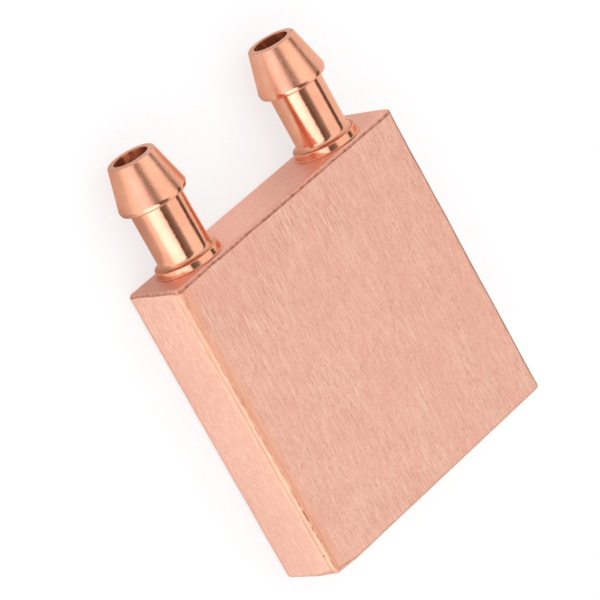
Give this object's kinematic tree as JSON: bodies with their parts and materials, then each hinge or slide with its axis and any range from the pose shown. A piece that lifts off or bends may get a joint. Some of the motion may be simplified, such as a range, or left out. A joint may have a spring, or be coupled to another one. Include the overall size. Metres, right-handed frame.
{
  "type": "gpu water block",
  "caption": "Square brushed copper liquid-cooling block for a graphics processor, with two turned hose barbs on one edge and skived fins inside.",
  "frame": {"origin": "middle of the body's underside, on the cold plate's contact face", "axes": "+X from the inlet to the outlet, +Y towards the hoses, +Z through the thickness, away from the chip"},
  "size_m": [0.04, 0.0549, 0.0095],
  "materials": {
    "satin_copper": "bare copper, brushed along the hoses' direction, satin",
    "plate_copper": "bare copper, lapped flat",
    "turned_copper": "bare copper, turned and polished",
    "brazed_copper": "copper-coloured braze, smooth"
  },
  "bodies": {
    "root": {"block_body": "satin_copper", "cold_plate": "plate_copper", "plate_braze_seam": "brazed_copper", "inlet_barb": "turned_copper", "outlet_barb": "turned_copper", "inlet_braze_ring": "brazed_copper", "outlet_braze_ring": "brazed_copper"}
  },
  "joints": []
}
